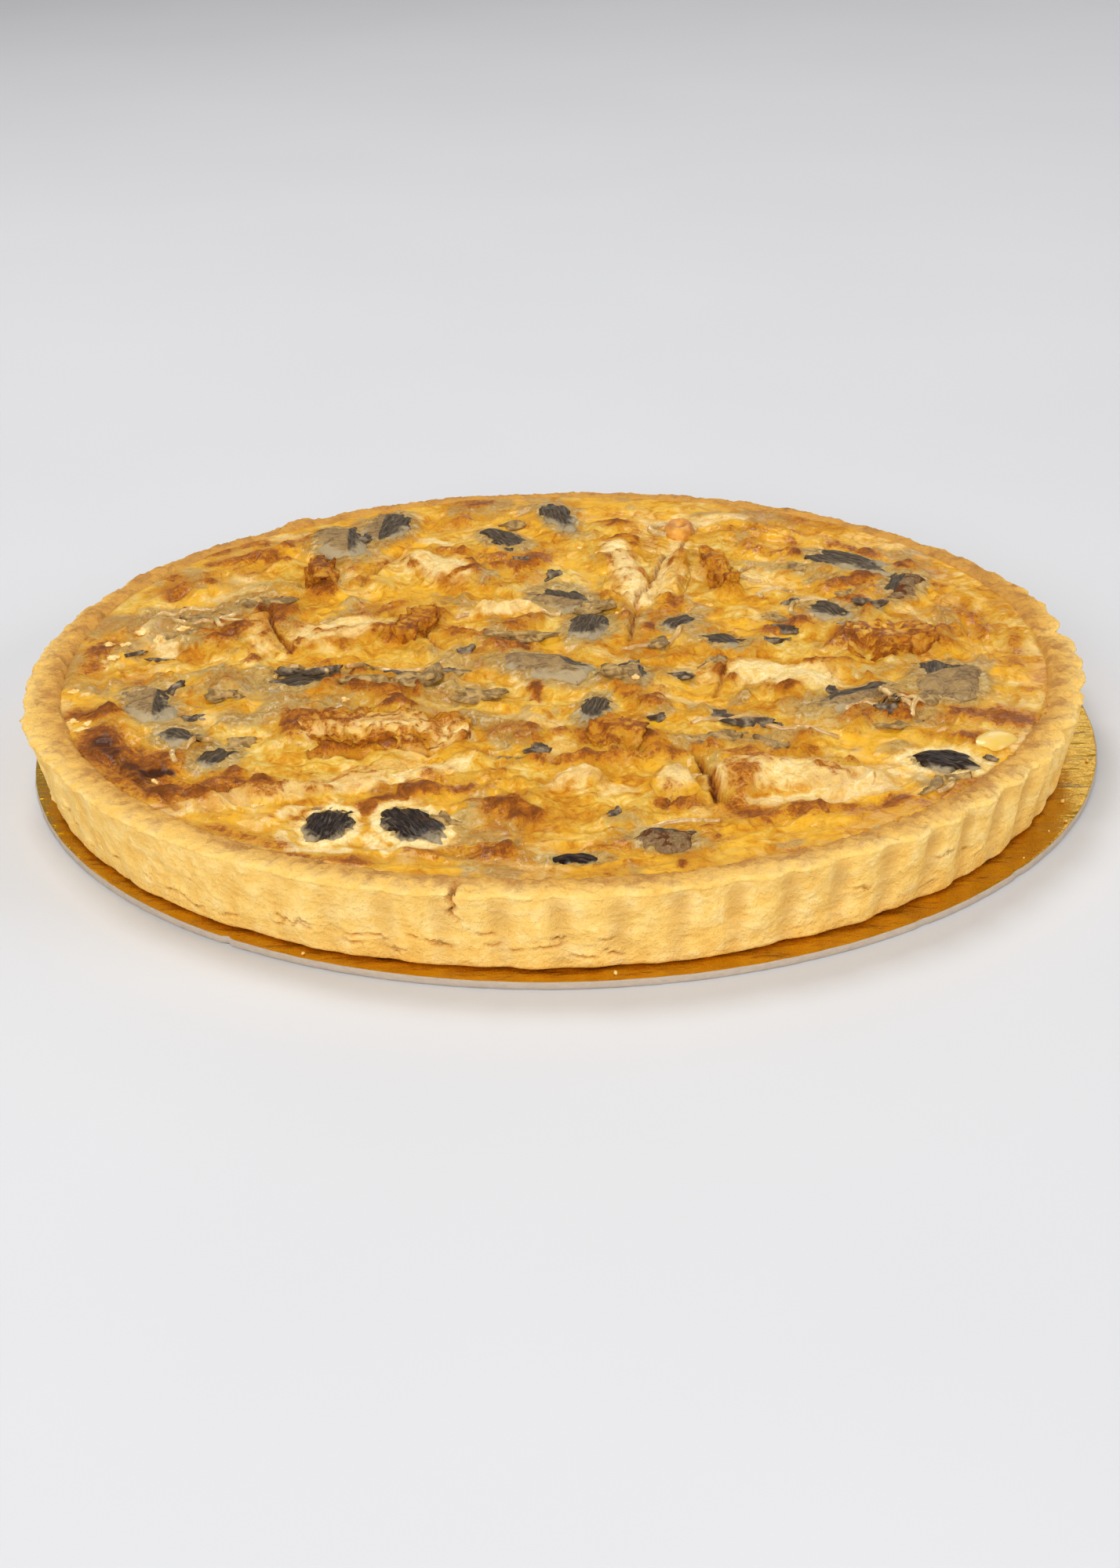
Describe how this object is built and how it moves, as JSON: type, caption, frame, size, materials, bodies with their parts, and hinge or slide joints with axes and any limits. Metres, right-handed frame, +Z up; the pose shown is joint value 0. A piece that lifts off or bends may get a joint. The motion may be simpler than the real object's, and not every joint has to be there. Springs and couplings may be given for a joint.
{
  "type": "quiche",
  "caption": "Round aubergine and white cheese quiche in a fluted shortcrust case, whole, on the thin gold-faced card it comes with.",
  "frame": {"origin": "middle of the underside of the card, on the surface it rests on", "axes": "+Z up out of the quiche's top; +Y points away from the viewed side, +X to its right"},
  "size_m": [0.28, 0.28, 0.0266],
  "materials": {
    "gold_card": "gold foil face with a fine grain, on grey board",
    "pastry": "golden baked shortcrust, dry and sandy, browner on the rim",
    "custard": "baked egg and cream custard, yellow to cream, browned in blotches, with a wet sheen",
    "cheese": "soft white cheese, cream, browned at its edges",
    "curd": "crinkled browned cheese curd",
    "aubergine": "roast aubergine: black-purple glossy skin and grey-brown flesh",
    "garlic": "roast garlic, smooth, yellow",
    "onion": "roast onion, orange-brown, glossy"
  },
  "bodies": {
    "root": {"aubergine_bar_back": "aubergine", "aubergine_cube_back": "aubergine", "aubergine_cube_right": "aubergine", "aubergine_curl": "aubergine", "aubergine_flesh_left_1": "aubergine", "aubergine_flesh_left_2": "aubergine", "aubergine_grey_far": "aubergine", "aubergine_grey_middle": "aubergine", "aubergine_grey_right": "aubergine", "aubergine_grey_seam": "aubergine", "aubergine_leaf_back": "aubergine", "aubergine_round": "aubergine", "aubergine_scorched": "aubergine", "aubergine_scorched_back": "aubergine", "aubergine_scorched_front": "aubergine", "aubergine_shreds_left": "aubergine", "aubergine_skin_back": "aubergine", "aubergine_skin_front_1": "aubergine", "aubergine_skin_front_2": "aubergine", "aubergine_skin_middle": "aubergine", "aubergine_skin_right": "aubergine", "aubergine_slice": "aubergine", "aubergine_sliver_front": "aubergine", "aubergine_strip_right": "aubergine", "aubergine_wedge_left": "aubergine", "cheese_back_slab": "cheese", "cheese_crusted_slab": "cheese", "cheese_far_left_slab": "cheese", "cheese_front_slab": "cheese", "cheese_left_slab": "cheese", "cheese_long_slab": "cheese", "cheese_right_slab": "cheese", "cheese_seam_slab": "cheese", "cheese_tall_slab": "cheese", "curd_back": "curd", "curd_front": "curd", "curd_gold": "curd", "curd_orange": "curd", "curd_pale": "curd", "curd_right": "curd", "curd_strip": "curd", "curd_tall": "curd", "custard": "custard", "garlic_clove": "garlic", "gold_card": "gold_card", "onion_ring_back": "onion", "pastry_case": "pastry"}
  },
  "joints": []
}
